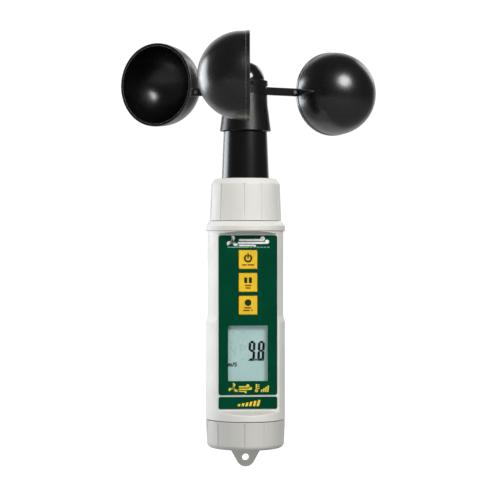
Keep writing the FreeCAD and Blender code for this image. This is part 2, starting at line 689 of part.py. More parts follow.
def hub_dome():
    ball = Part.makeSphere(DOME_R, Vector(0, 0, HUB_TOP_Z))
    hollow = Part.makeSphere(DOME_R - DOME_WALL, Vector(0, 0, HUB_TOP_Z))
    above = cylinder(DOME_R + 1, HUB_TOP_Z, HUB_TOP_Z + DOME_R + 1)
    spigot = cylinder(DOME_R - 1.25, LIP_Z + 0.9, HUB_TOP_Z + 0.2)
    spigot = spigot.cut(cylinder(DOME_R - 2.25, LIP_Z, HUB_TOP_Z + 1))
    return union([ball.cut(hollow).common(above), spigot])


def shaft_nut():
    corners = [Vector(2.9 * math.cos(math.radians(60 * i)), 2.9 * math.sin(math.radians(60 * i)),
                      LIP_Z + 0.4) for i in range(6)]
    nut = Part.Face(Part.makePolygon(corners + corners[:1])).extrude(Z_AXIS * 2.2)
    return nut.cut(cylinder(SHAFT_R, LIP_Z, SHAFT_TOP_Z))


def arm():
    """One arm along +X, its cup opening towards +Y."""
    low, high = ARM_Z - ARM_HEIGHT / 2, ARM_Z + ARM_HEIGHT / 2
    bar = box((ARM_ROOT_R, ARM_END_R), (-ARM_T / 2, ARM_T / 2), (low, high))
    long_edges = [e for e in bar.Edges if e.BoundBox.XLength > 1]
    bar = bar.makeFillet(0.7, long_edges)
    slot = box((TONGUE_ROOT_R - 0.1, ARM_END_R + 1), (-TONGUE_T / 2 - 0.03, TONGUE_T / 2 + 0.03),
               (low + 0.75, high - 0.75))
    return bar.cut(slot).cut(pin_hole(PIN_R))


def pin_hole(radius):
    return Part.makeCylinder(radius, 10, Vector(PIN_AT_R, -5, ARM_Z), Y_AXIS)


def arm_pin():
    shank = Part.makeCylinder(PIN_R, ARM_T + 0.2, Vector(PIN_AT_R, -ARM_T / 2 - 0.1, ARM_Z), Y_AXIS)
    heads = [Part.makeCylinder(PIN_R + 0.25, 0.2, Vector(PIN_AT_R, y, ARM_Z), Y_AXIS)
             for y in (-ARM_T / 2 - 0.2, ARM_T / 2)]
    return union([shank] + heads)


def cup_body(radius, rim_y, middle_z):
    """The solid inside a cup's wall of the given radius, out to rim_y."""
    centre = Vector(CUP_AT_R, -CUP_SKIRT, middle_z)
    ball = Part.makeSphere(radius, centre)
    tube = Part.makeCylinder(radius, rim_y + CUP_SKIRT, centre, Y_AXIS)
    back = box((0, 100), (-40, -CUP_SKIRT), (middle_z - 40, middle_z + 40))
    return union([ball.common(back), tube])


def cup(side):
    middle_z = ARM_Z + CUP_RISE[side]
    shell = cup_body(CUP_R, CUP_RIM, middle_z)
    lip = Part.makeCylinder(CUP_LIP_R, CUP_RIM, Vector(CUP_AT_R, 0, middle_z), Y_AXIS)
    rims = [e for e in lip.Edges if len(e.Vertexes) == 1]
    lip = lip.makeFillet(LIP_ROUNDING, rims)
    tongue = box((TONGUE_ROOT_R, 32), (-TONGUE_T / 2, TONGUE_T / 2),
                 (ARM_Z - ARM_HEIGHT / 2 + 0.8, ARM_Z + ARM_HEIGHT / 2 - 0.8))
    shell = union([shell, lip, tongue, fairing(middle_z)])
    inside = cup_body(CUP_R - CUP_WALL, CUP_RIM + 1, middle_z)
    return shell.cut(inside).cut(pin_hole(PIN_R))


def fairing(middle_z):
    """A pointed rib that carries the arm's line over the back of the cup."""
    half = ARM_HEIGHT / 2
    tip_y = -10.5
    outline = [
        Vector(20, ARM_T / 2, ARM_Z - half), Vector(20, ARM_T / 2, ARM_Z + half),
        Vector(20, -ARM_T / 2, ARM_Z + half), Vector(20, tip_y, ARM_Z + 0.15),
        Vector(20, tip_y, ARM_Z - 0.15), Vector(20, -ARM_T / 2, ARM_Z - half),
    ]
    wedge = Part.Face(Part.makePolygon(outline + outline[:1])).extrude(X_AXIS * 20)
    near = cup_body(CUP_R + 0.9, ARM_T / 2, middle_z)
    return wedge.common(near).common(box((0, CUP_AT_R), (-40, 40), (0, 300)))


# ------------------------------------------------------------------ all pieces
def all_pieces():
    pieces = {
        "housing": housing(),
        "label_panel": label_panel(),
        "model_plate": model_plate(),
        "display_window": display_window(),
        "display_frame": display_frame(),
        "display_glass": display_glass(),
        "contact_strips": contact_strips(),
        "main_board": main_board(),
        "board_screws": board_screws(),
        "key_switches": key_switches(),
        "board_components": board_components(),
        "board_contacts": board_contacts(),
        "end_cap": end_cap(),
        "cap_seal": cap_seal(),
        "battery_tray": battery_tray(),
        "coin_cells": coin_cells(),
        "cell_terminals": cell_terminals(),
        "tray_screws": tray_screws(),
        "collar": collar(),
        "neck": neck(),
        "neck_seal": neck_seal(),
        "sensor_board": sensor_board(),
        "temperature_sensor": temperature_sensor(),
        "sensor_lead": sensor_lead(),
        "bearing_outer_races": bearing_ring(3.9, BEARING_R),
        "bearing_inner_races": bearing_ring(SHAFT_R, 2.6),
        "bearing_balls": bearing_balls(),
        "rotor_shaft": rotor_shaft(),
        "bearing_spacer": bearing_spacer(),
        "shaft_clip": shaft_clip(),
        "magnet": magnet(),
        "rotor_hub": turned(rotor_hub(), ROTOR_TURN_DEG),
        "hub_dome": hub_dome(),
        "shaft_nut": shaft_nut(),
    }
    for name, z in zip(KEY_NAMES, key_centres()):
        pieces[name] = key(z)
    pins = []
    for side, angle in ARM_ANGLES.items():
        angle += ROTOR_TURN_DEG
        pieces["arm_" + side] = turned(arm().cut(cup(side)), angle)
        pieces["cup_" + side] = turned(cup(side), angle)
        pins.append(turned(arm_pin(), angle))
    pieces["arm_pins"] = group(pins)
    return pieces


os.makedirs("parts", exist_ok=True)
for name, shape in all_pieces().items():
    shape.exportStep("parts/" + name + ".step")
    box_size = shape.BoundBox
    print(f"{name:20s} solids {len(shape.Solids)} valid {shape.isValid()} volume {shape.Volume:9.1f} "
          f"x {box_size.XMin:7.2f} {box_size.XMax:7.2f} y {box_size.YMin:7.2f} {box_size.YMax:7.2f} "
          f"z {box_size.ZMin:7.2f} {box_size.ZMax:7.2f}")
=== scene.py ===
"""Looks of the handheld weather meter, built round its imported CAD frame.

Metres, +Z up the rotor's spin axis, the front face looking along -Y. Print on the front is given in
millimetres across and up from the middle of the piece that carries it.
"""

import json
import math

import bmesh
import bpy
from mathutils import Matrix, Vector


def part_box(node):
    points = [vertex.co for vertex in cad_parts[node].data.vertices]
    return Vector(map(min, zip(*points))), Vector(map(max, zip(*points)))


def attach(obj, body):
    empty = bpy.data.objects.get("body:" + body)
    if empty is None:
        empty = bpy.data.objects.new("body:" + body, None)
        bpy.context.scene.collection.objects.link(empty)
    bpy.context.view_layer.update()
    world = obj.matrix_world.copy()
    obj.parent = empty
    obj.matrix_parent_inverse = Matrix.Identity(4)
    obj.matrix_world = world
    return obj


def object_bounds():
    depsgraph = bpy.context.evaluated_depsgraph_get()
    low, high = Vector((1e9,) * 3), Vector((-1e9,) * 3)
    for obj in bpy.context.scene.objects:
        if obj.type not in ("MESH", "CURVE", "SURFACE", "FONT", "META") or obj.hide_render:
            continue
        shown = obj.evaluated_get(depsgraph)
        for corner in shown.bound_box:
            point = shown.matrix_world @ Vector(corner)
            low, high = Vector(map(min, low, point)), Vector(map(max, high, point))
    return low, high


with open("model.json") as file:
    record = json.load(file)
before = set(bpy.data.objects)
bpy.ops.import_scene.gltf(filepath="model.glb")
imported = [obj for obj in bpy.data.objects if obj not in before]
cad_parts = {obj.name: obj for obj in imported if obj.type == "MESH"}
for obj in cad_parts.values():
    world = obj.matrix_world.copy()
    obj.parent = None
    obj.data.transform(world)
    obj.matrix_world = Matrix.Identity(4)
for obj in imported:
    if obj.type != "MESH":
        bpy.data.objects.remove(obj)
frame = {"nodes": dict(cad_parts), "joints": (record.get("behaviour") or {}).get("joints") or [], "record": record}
cad_low, cad_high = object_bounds()

MM = 0.001


# ------------------------------------------------------------------ material building blocks
def linear(colour):
    """An sRGB colour, 0 to 255, as a linear RGBA tuple."""
    channels = []
    for value in colour:
        c = value / 255
        channels.append(c / 12.92 if c <= 0.04045 else ((c + 0.055) / 1.055) ** 2.4)
    return (*channels, 1.0)


def shade(colour, factor):
    """The same sRGB colour, lighter or darker."""
    return tuple(min(255, c * factor) for c in colour)


def set_range(node, low, high, to_low, to_high):
    """Sets what a Map Range node maps from and to."""
    for socket, number in (("From Min", low), ("From Max", high), ("To Min", to_low), ("To Max", to_high)):
        node.inputs[socket].default_value = number


class Look:
    """A Principled material, and short ways to hang textures on it."""

    def __init__(self, name, roughness, **sockets):
        self.material = bpy.data.materials.new(name)
        self.material.use_nodes = True
        self.nodes = self.material.node_tree.nodes
        self.links = self.material.node_tree.links
        self.shader = self.nodes["Principled BSDF"]
        self.shader.inputs["Roughness"].default_value = roughness
        for socket, value in sockets.items():
            self.shader.inputs[socket.replace("_", " ")].default_value = value
        self.place = self.nodes.new("ShaderNodeTexCoord").outputs["Object"]

    def join(self, value, socket):
        """Links value to a socket, or sets it there when it is a plain number or colour."""
        if isinstance(value, bpy.types.NodeSocket):
            self.links.new(value, socket)
        else:
            socket.default_value = value

    def stretched(self, scale, turn=(0, 0, 0)):
        mapping = self.nodes.new("ShaderNodeMapping")
        mapping.inputs["Scale"].default_value = scale
        mapping.inputs["Rotation"].default_value = turn
        self.links.new(self.place, mapping.inputs["Vector"])
        return mapping.outputs["Vector"]

    def noise(self, size_mm, detail=2.0, stretch=None, turn=(0, 0, 0)):
        """Cloudy noise whose patches are about size_mm across."""
        node = self.nodes.new("ShaderNodeTexNoise")
        node.inputs["Scale"].default_value = 1 / (size_mm * MM)
        node.inputs["Detail"].default_value = detail
        self.links.new(self.stretched(stretch, turn) if stretch else self.place, node.inputs["Vector"])
        return node.outputs["Fac"]

    def cells(self, size_mm):
        """Distance from the nearest of scattered points about size_mm apart."""
        node = self.nodes.new("ShaderNodeTexVoronoi")
        node.inputs["Scale"].default_value = 1 / (size_mm * MM)
        self.links.new(self.place, node.inputs["Vector"])
        return node.outputs["Distance"]

    def turned_marks(self, pitch_mm, axis):
        """Fine rings round an axis, as a lathe leaves."""
        node = self.nodes.new("ShaderNodeTexWave")
        node.wave_type = "RINGS"
        node.rings_direction = axis
        node.inputs["Scale"].default_value = 0.32 / (pitch_mm * MM)
        node.inputs["Distortion"].default_value = 1.5
        self.links.new(self.place, node.inputs["Vector"])
        return node.outputs["Fac"]

    def remap(self, value, low, high, to_low=0.0, to_high=1.0):
        node = self.nodes.new("ShaderNodeMapRange")
        node.interpolation_type = "SMOOTHSTEP"
        self.links.new(value, node.inputs["Value"])
        set_range(node, low, high, to_low, to_high)
        return node.outputs["Result"]

    def maths(self, operation, a, b):
        node = self.nodes.new("ShaderNodeMath")
        node.operation = operation
        self.join(a, node.inputs[0])
        self.join(b, node.inputs[1])
        return node.outputs["Value"]

    def mix(self, factor, a, b):
        node = self.nodes.new("ShaderNodeMix")
        node.data_type = "RGBA"
        self.join(factor, node.inputs[0])
        self.join(a, node.inputs[6])
        self.join(b, node.inputs[7])
        return node.outputs[2]

    def edges(self, radius_mm):
        """1 along corners that stick out, 0 on open surfaces."""
        bevel = self.nodes.new("ShaderNodeBevel")
        bevel.samples = 4
        bevel.inputs["Radius"].default_value = radius_mm * MM
        geometry = self.nodes.new("ShaderNodeNewGeometry")
        dot = self.nodes.new("ShaderNodeVectorMath")
        dot.operation = "DOT_PRODUCT"
        self.links.new(bevel.outputs["Normal"], dot.inputs[0])
        self.links.new(geometry.outputs["Normal"], dot.inputs[1])
        return self.remap(dot.outputs["Value"], 0.995, 0.90)

    def bumps(self, *layers):
        """Adds up (height, depth in mm) layers into the shader's normal."""
        total = None
        for height, depth_mm in layers:
            layer = self.maths("MULTIPLY", height, depth_mm * MM)
            total = layer if total is None else self.maths("ADD", total, layer)
        node = self.nodes.new("ShaderNodeBump")
        node.inputs["Distance"].default_value = 1.0
        self.links.new(total, node.inputs["Height"])
        self.links.new(node.outputs["Normal"], self.shader.inputs["Normal"])

    def colour(self, value):
        self.join(value, self.shader.inputs["Base Color"])

    def roughness(self, value):
        self.join(value, self.shader.inputs["Roughness"])


# ------------------------------------------------------------------ materials
def shell_plastic(name, colour, roughness, grain_mm, grain_depth, specular=0.4):
    """Pale moulded ABS: spark-eroded grain, faint flow clouding, grime in places and polished edges."""
    look = Look(name, roughness, Specular_IOR_Level=specular)
    clouds = look.remap(look.noise(26, 3), 0.35, 0.65)
    specks = look.remap(look.noise(0.5, 2), 0.62, 0.72, 0.0, 0.05)
    smudge = look.remap(look.noise(11, 5), 0.55, 0.8, 0.0, 0.12)
    base = look.mix(clouds, linear(shade(colour, 0.985)), linear(shade(colour, 1.01)))
    base = look.mix(smudge, base, linear(shade(colour, 0.93)))
    base = look.mix(specks, base, linear(shade(colour, 0.7)))
    wear = look.maths("MULTIPLY", look.edges(0.35), look.remap(look.noise(3, 4), 0.4, 0.7))
    look.colour(look.mix(look.maths("MULTIPLY", wear, 0.35), base, linear(shade(colour, 1.05))))
    gloss = look.remap(look.noise(8, 4), 0.3, 0.7, roughness - 0.04, roughness + 0.05)
    look.roughness(look.maths("SUBTRACT", gloss, look.maths("MULTIPLY", wear, 0.12)))
    look.bumps((look.noise(grain_mm, 2), grain_depth), (look.noise(9, 2), 0.004))
    return look.material


def black_plastic(name, level, roughness, grain_mm, grain_depth, streak=(1, 1, 1), gloss=1.0,
                  wear=(0.0, 0.22), edge_wear_highlight_level=72):
    """Glossy black moulded plastic: orange peel, hairline scuffs, a little dust and edges made paler with wear
    on most parts; on the cups the rims are a painted highlight, light grey nearly all round.

    level and the grey that edges turn to are grey levels from 0 to 255. wear is how far edges turn to that
    grey, from where they are least rubbed to where they are most; on the cups it is set nearly full, which
    paints a highlight along the rims.
    """
    colour = (level, level, level + 1)
    look = Look(name, roughness, Specular_IOR_Level=gloss)
    clouds = look.remap(look.noise(18, 3), 0.35, 0.65)
    base = look.mix(clouds, linear(shade(colour, 0.9)), linear(shade(colour, 1.1)))
    dust = look.remap(look.noise(0.35, 1), 0.7, 0.78, 0.0, 0.03)
    base = look.mix(dust, base, linear((110, 110, 108)))
    # Paler edges: wear on most parts; on the cups, nearly full and light grey, a painted highlight along the rims.
    worn_and_rim_highlight = look.maths("MULTIPLY", look.edges(0.3), look.remap(look.noise(2.5, 4), 0.4, 0.75, *wear))
    look.colour(look.mix(worn_and_rim_highlight, base, linear((edge_wear_highlight_level, edge_wear_highlight_level + 1, edge_wear_highlight_level + 3))))
    hairlines = look.remap(look.noise(0.9, 3, (1, 1, 14), (0.5, 0.3, 0.0)), 0.6, 0.75, 0.0, 0.05)
    cloudy = look.remap(look.noise(9, 3, streak), 0.3, 0.7, roughness - 0.025, roughness + 0.025)
    look.roughness(look.maths("ADD", cloudy, hairlines))
    look.bumps((look.noise(grain_mm, 2), grain_depth), (look.noise(5, 2, streak), 0.0025))
    return look.material


def label_film(name, colour):
    """Printed polycarbonate film: velvet grain, ink that isn't quite even, rubbed corners."""
    look = Look(name, 0.45, Specular_IOR_Level=0.03)
    ink = look.remap(look.noise(14, 4), 0.3, 0.7)
    base = look.mix(ink, linear(shade(colour, 0.95)), linear(shade(colour, 1.05)))
    dots = look.remap(look.noise(0.25, 1), 0.6, 0.75, 0.0, 0.1)
    base = look.mix(dots, base, linear(shade(colour, 1.3)))
    rubbed = look.maths("MULTIPLY", look.edges(0.2), look.remap(look.noise(2, 3), 0.45, 0.75))
    look.colour(look.mix(look.maths("MULTIPLY", rubbed, 0.5), base, linear((60, 120, 98))))
    look.roughness(look.remap(look.noise(6, 4), 0.3, 0.7, 0.38, 0.48))
    look.bumps((look.noise(0.16, 1), 0.0012), (look.noise(12, 2), 0.006))
    return look.material


def key_film(name, colour):
    """Yellow embossed key film: soft satin, fine grime, and painted shade that turns the sides of the raised keys
    darker orange.
    """
    look = Look(name, 0.42, Specular_IOR_Level=0.35)
    ink = look.remap(look.noise(5, 4), 0.3, 0.7)
    base = look.mix(ink, linear(shade(colour, 0.97)), linear(shade(colour, 1.03)))
    # Painted shade: the raised keys' sides turn darker orange all round, standing in for the shade on them.
    rim_painted_shade = look.edges(0.45)
    base = look.mix(look.maths("MULTIPLY", rim_painted_shade, 0.55), base, linear((176, 122, 12)))
    grime = look.remap(look.noise(1.2, 5), 0.6, 0.8, 0.0, 0.12)
    look.colour(look.mix(grime, base, linear((150, 105, 20))))
    look.roughness(look.remap(look.noise(2.5, 3), 0.3, 0.7, 0.34, 0.48))
    look.bumps((look.noise(0.2, 1), 0.0015), (look.noise(3, 2), 0.004))
    return look.material


def print_ink(name, colour, roughness=0.45):
    """Screen-printed ink: pinholes, slightly uneven density and a dry surface."""
    look = Look(name, roughness, Specular_IOR_Level=0.3)
    density = look.remap(look.noise(1.6, 3), 0.3, 0.7)
    base = look.mix(density, linear(shade(colour, 0.94)), linear(shade(colour, 1.04)))
    holes = look.remap(look.noise(0.12, 1), 0.66, 0.74, 0.0, 0.25)
    look.colour(look.mix(holes, base, linear(shade(colour, 0.55))))
    look.roughness(look.remap(look.noise(0.8, 2), 0.3, 0.7, roughness - 0.06, roughness + 0.06))
    look.bumps((look.noise(0.3, 1), 0.001))
    return look.material


def display_cell():
    """Reflective liquid-crystal cell: a pale grey-green polariser over a finely mottled reflector."""
    look = Look("display_cell", 0.3, Specular_IOR_Level=0.3)
    colour = (190, 217, 216)
    clouds = look.remap(look.noise(22, 2), 0.3, 0.7)
    base = look.mix(clouds, linear(shade(colour, 0.975)), linear(shade(colour, 1.02)))
    mottle = look.remap(look.noise(0.2, 2), 0.3, 0.7, 0.0, 0.1)
    base = look.mix(mottle, base, linear(shade(colour, 0.86)))
    look.colour(look.mix(look.remap(look.edges(0.5), 0, 1, 0.0, 0.3), base, linear((150, 172, 170))))
    look.roughness(look.remap(look.noise(10, 3), 0.3, 0.7, 0.26, 0.34))
    look.bumps((look.noise(0.18, 1), 0.0008))
    return look.material


def clear_window():
    """Acrylic window: what shows through is unbent, and its outside glosses at glancing angles."""
    material = bpy.data.materials.new("clear_window")
    material.use_nodes = True
    nodes = material.node_tree.nodes
    links = material.node_tree.links
    nodes.clear()
    output = nodes.new("ShaderNodeOutputMaterial")
    clear = nodes.new("ShaderNodeBsdfTransparent")
    clear.inputs["Color"].default_value = (0.97, 0.985, 0.98, 1)
    mirror = nodes.new("ShaderNodeBsdfGlossy")
    mirror.inputs["Color"].default_value = (1, 1, 1, 1)
    fresnel = nodes.new("ShaderNodeFresnel")
    fresnel.inputs["IOR"].default_value = 1.45
    sides = nodes.new("ShaderNodeNewGeometry")
    outer = nodes.new("ShaderNodeMath")
    outer.operation = "SUBTRACT"
    outer.inputs[0].default_value = 1.0
    gloss = nodes.new("ShaderNodeMath")
    gloss.operation = "MULTIPLY"
    place = nodes.new("ShaderNodeTexCoord")
    smear = nodes.new("ShaderNodeTexNoise")
    smear.inputs["Scale"].default_value = 1 / (4 * MM)
    smear.inputs["Detail"].default_value = 5
    haze = nodes.new("ShaderNodeMapRange")
    set_range(haze, 0.35, 0.75, 0.05, 0.16)
    blend = nodes.new("ShaderNodeMixShader")
    links.new(place.outputs["Object"], smear.inputs["Vector"])
    links.new(smear.outputs["Fac"], haze.inputs["Value"])
    links.new(haze.outputs["Result"], mirror.inputs["Roughness"])
    links.new(sides.outputs["Backfacing"], outer.inputs[1])
    links.new(fresnel.outputs["Fac"], gloss.inputs[0])
    links.new(outer.outputs["Value"], gloss.inputs[1])
    links.new(gloss.outputs["Value"], blend.inputs["Fac"])
    links.new(clear.outputs["BSDF"], blend.inputs[1])
    links.new(mirror.outputs["BSDF"], blend.inputs[2])
    links.new(blend.outputs["Shader"], output.inputs["Surface"])
    return material


def rubber(name, level=26):
    """Moulded black rubber with a dry bloom and mould texture."""
    look = Look(name, 0.7, Specular_IOR_Level=0.3)
    bloom = look.remap(look.noise(2.5, 5), 0.45, 0.75)
    look.colour(look.mix(bloom, linear((level, level, level)), linear((level + 18, level + 18, level + 17))))
    look.roughness(look.remap(look.noise(1.2, 3), 0.3, 0.7, 0.6, 0.8))
    look.bumps((look.noise(0.15, 2), 0.004))
    return look.material


def metal(name, colour, roughness, axis=None, pitch_mm=0.12):
    """Machined or rolled metal: lathe rings or rolling lines, fingerprints and brighter edges."""
    look = Look(name, roughness, Metallic=1.0)
    tarnish = look.remap(look.noise(7, 3), 0.45, 0.75)
    base = look.mix(tarnish, linear(colour), linear(shade(colour, 0.9)))
    look.colour(look.mix(look.edges(0.15), base, linear(shade(colour, 1.12))))
    marks = look.turned_marks(pitch_mm, axis) if axis else look.noise(3, 2, (1, 14, 14))
    gloss = look.remap(look.noise(6, 3), 0.3, 0.7, roughness - 0.05, roughness + 0.06)
    look.roughness(look.maths("ADD", gloss, look.maths("MULTIPLY", marks, 0.06)))
    look.bumps((marks, 0.0015), (look.noise(0.3, 2), 0.001))
    return look.material


def circuit_board():
    """Green solder mask over etched tracks, with tinned pads."""
    look = Look("circuit_board", 0.4)
    tracks = look.remap(look.noise(1.1, 0, (9, 1, 1)), 0.49, 0.52)
    base = look.mix(tracks, linear((8, 74, 42)), linear((16, 100, 58)))
    pads = look.remap(look.cells(2.2), 0.22, 0.26, 1.0, 0.0)
    look.colour(look.mix(pads, base, linear((196, 190, 172))))
    look.roughness(look.remap(look.noise(2, 3), 0.3, 0.7, 0.3, 0.5))
    look.bumps((tracks, 0.02), (look.noise(0.3, 1), 0.002))
    return look.material


def chip_body():
    """Moulded chip packages with matte tops."""
    look = Look("chips", 0.6)
    patches = look.remap(look.noise(1, 4), 0.4, 0.7)
    look.colour(look.mix(patches, linear((24, 24, 26)), linear((44, 44, 46))))
    look.roughness(look.remap(look.noise(0.6, 3), 0.3, 0.7, 0.5, 0.72))
    look.bumps((look.noise(0.1, 2), 0.003))
    return look.material


def bead_glass():
    """Amber glass bead of the temperature sensor."""
    look = Look("bead_glass", 0.1, Coat_Weight=0.6)
    depth = look.remap(look.noise(0.6, 3), 0.3, 0.7)
    look.colour(look.mix(depth, linear((150, 70, 24)), linear((190, 110, 50))))
    look.roughness(look.remap(look.noise(0.5, 2), 0.3, 0.7, 0.06, 0.16))
    look.bumps((look.noise(0.4, 1), 0.004))
    return look.material


CASE_COLOUR = (228, 226, 220)
CAP_COLOUR = (207, 206, 200)
GREEN = (1, 66, 44)
YELLOW = (239, 195, 38)
STEEL = (196, 196, 196)

LOOKS = {
    "case_shell": shell_plastic("case_shell", CASE_COLOUR, 0.48, 0.28, 0.006),
    "cap_shell": shell_plastic("cap_shell", CAP_COLOUR, 0.46, 0.28, 0.006),
    "collar_shell": shell_plastic("collar_shell", shade(CASE_COLOUR, 0.985), 0.46, 0.26, 0.005),
    "front_label": label_film("front_label", GREEN),
    "lower_label": label_film("lower_label", GREEN),
    "clear_window": clear_window(),
    "display_bezel": black_plastic("display_bezel", 40, 0.5, 0.3, 0.004, gloss=0.4),
    "display_cell": display_cell(),
    "zebra_rubber": rubber("zebra_rubber", 60),
    "circuit_board": circuit_board(),
    "screw_steel": metal("screw_steel", STEEL, 0.3, "Y"),
    "switch_domes": metal("switch_domes", (205, 205, 200), 0.28, "Y"),
    "chips": chip_body(),
    "spring_contacts": metal("spring_contacts", (214, 182, 104), 0.26),
    "seal_rubber": rubber("seal_rubber"),
    "tray_plastic": black_plastic("tray_plastic", 46, 0.52, 0.3, 0.006, gloss=0.4),
    "cell_steel": metal("cell_steel", (208, 207, 202), 0.3),
    "terminal_metal": metal("terminal_metal", (216, 208, 184), 0.3),
    "neck_black": black_plastic("neck_black", 11, 0.24, 0.5, 0.0018, streak=(1, 1, 0.2), gloss=0.6),
    "bead_glass": bead_glass(),
    "lead_sleeve": rubber("lead_sleeve", 34),
    "bearing_steel": metal("bearing_steel", (206, 206, 208), 0.18, "Z"),
    "shaft_steel": metal("shaft_steel", (200, 200, 202), 0.2, "Z"),
    "spacer_brass": metal("spacer_brass", (212, 180, 104), 0.28, "Z"),
    "magnet_nickel": metal("magnet_nickel", (206, 202, 194), 0.2, "Z"),
    "hub_black": black_plastic("hub_black", 14, 0.34, 0.4, 0.003, gloss=0.5),
    "dome_black": black_plastic("dome_black", 9, 0.18, 0.6, 0.0015),
    "power_key": key_film("power_key", YELLOW),
    "hold_key": key_film("hold_key", YELLOW),
    "record_key": key_film("record_key", YELLOW),
    "arm_black": black_plastic("arm_black", 14, 0.38, 0.35, 0.003, gloss=0.4),
    # Cup rims painted light grey nearly all round: a painted highlight for the rim's reflection, with a little
    # wear.
    "cup_black": black_plastic("cup_black", 9, 0.27, 0.45, 0.0012, wear=(0.8, 1.0), edge_wear_highlight_level=150),
    "pin_steel": metal("pin_steel", (176, 174, 170), 0.34, "Z"),
}


def dress_frame():
    """Gives every CAD node the look of its record slot."""
    for part in frame["record"]["subparts"]:
        mesh = frame["nodes"][part["node"]].data
        look = LOOKS[part["material_slot"]]
        if not mesh.materials:
            mesh.materials.append(look)
        for index in range(len(mesh.materials)):
            mesh.materials[index] = look


# ------------------------------------------------------------------ print on the front
PRINT_T = 0.035          # how far print stands off its surface
PRINT_SUNK = 0.01        # and how far it reaches into it


class Print:
    """Thin raised print on a surface that faces -Y, as closed prisms in one mesh."""

    def __init__(self, centre_x, centre_z, surface_y, proud=PRINT_T):
        self.mesh = bmesh.new()
        self.centre = (centre_x, centre_z)
        self.front = surface_y - proud * MM
        self.back = surface_y + PRINT_SUNK * MM

    def corner(self, point, y):
        x, z = point
        return self.mesh.verts.new((self.centre[0] + x * MM, y, self.centre[1] + z * MM))

    def prism(self, outline):
        front = [self.corner(p, self.front) for p in outline]
        back = [self.corner(p, self.back) for p in outline]
        self.mesh.faces.new(front)
        self.mesh.faces.new(list(reversed(back)))
        for i in range(len(outline)):
            j = (i + 1) % len(outline)
            self.mesh.faces.new((front[i], back[i], back[j], front[j]))

    def box(self, x, z, width, height, slant=0.0):
        """A bar centred at x, z, its top leaning to the right by slant."""
        w, h, s = width / 2, height / 2, slant / 2
        self.prism([(x - w - s, z - h), (x + w - s, z - h), (x + w + s, z + h), (x - w + s, z + h)])

    def disc(self, x, z, radius, sides=28):
        self.prism(arc_points(x, z, radius, 0, 360 - 360 / sides, sides))

    def stroke(self, points, width):
        """A line of constant width through points, with round ends."""
        rows = []
        for left, right in line_stations(points, width):
            rows.append([self.corner(left, self.front), self.corner(right, self.front),
                         self.corner(right, self.back), self.corner(left, self.back)])
        for a, b in zip(rows, rows[1:]):
            for i in range(4):
                j = (i + 1) % 4
                self.mesh.faces.new((a[i], a[j], b[j], b[i]))
        self.mesh.faces.new(rows[0])
        self.mesh.faces.new(list(reversed(rows[-1])))

    def finish(self, name, material, body):
        bmesh.ops.recalc_face_normals(self.mesh, faces=self.mesh.faces)
        mesh = bpy.data.meshes.new(name)
        self.mesh.to_mesh(mesh)
        self.mesh.free()
        mesh.materials.append(material)
        piece = bpy.data.objects.new(name, mesh)
        bpy.context.scene.collection.objects.link(piece)
        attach(piece, body)
        return piece


def arc_points(x, z, radius, start_deg, end_deg, count):
    """Points on an arc, counted from the right and anticlockwise as seen from the front."""
    points = []
    for i in range(count):
        t = math.radians(start_deg + (end_deg - start_deg) * i / (count - 1))
        points.append((x + radius * math.cos(t), z + radius * math.sin(t)))
    return points


def sides_of(points, i, j, at, half):
    """The two points half a width either side of points[at], square to the line from i to j."""
    dx, dz = points[j][0] - points[i][0], points[j][1] - points[i][1]
    length = math.hypot(dx, dz)
    nx, nz = -dz / length * half, dx / length * half
    x, z = points[at]
    return (x + nx, z + nz), (x - nx, z - nz)


def line_stations(points, width):
    last = len(points) - 1
    stations = []
    for i in range(last + 1):
        stations.append(sides_of(points, max(0, i - 1), min(last, i + 1), i, width / 2))
    head = round_end(points[1], points[0], width)
    tail = round_end(points[-2], points[-1], width)
    return list(reversed(head)) + stations + tail


def round_end(inner, end, width):
    """Narrowing stations past end, which close a stroke with a half round."""
    dx, dz = end[0] - inner[0], end[1] - inner[1]
    length = math.hypot(dx, dz)
    dx, dz = dx / length, dz / length
    stations = []
    for degrees in (30, 55, 78):
        out = width / 2 * math.sin(math.radians(degrees))
        half = width / 2 * math.cos(math.radians(degrees))
        x, z = end[0] + dx * out, end[1] + dz * out
        left, right = (x - dz * half, z + dx * half), (x + dz * half, z - dx * half)
        stations.append((left, right))
    return stations


def draw_wind(ink, left, right, z, curl, width):
    """A gust: a straight line that curls over at its right end, up for curl > 0."""
    radius = abs(curl)
    side = 1 if curl > 0 else -1
    points = [(left, z), ((left + right) / 2, z)]
    hook = arc_points(right, z + curl, radius, -90 * side, 160 * side, 14)
    ink.stroke(points + hook, width)


def draw_rotor(ink, x, z, size, width):
    """A three-cup rotor seen from above."""
    ink.disc(x, z, size * 0.14, 16)
    for i in range(3):
        t = math.radians(90 + 120 * i)
        cup_x, cup_z = x + size * 0.36 * math.cos(t), z + size * 0.36 * math.sin(t)
        ink.stroke([(x, z), (cup_x, cup_z)], width * 0.7)
        facing = math.degrees(t)
        ink.stroke(arc_points(cup_x, cup_z, size * 0.15, facing - 180, facing, 10), width)


def draw_thermometer(ink, x, z, height, width):
    bulb = height * 0.2
    ink.disc(x, z - height / 2 + bulb, bulb, 18)
    ink.stroke([(x, z - height / 2 + bulb), (x, z + height / 2 - width / 2)], width)
    for i in range(3):
        mark_z = z - height * 0.05 + i * height * 0.22
        ink.stroke([(x + width * 0.9, mark_z), (x + width * 2.1, mark_z)], width * 0.45)


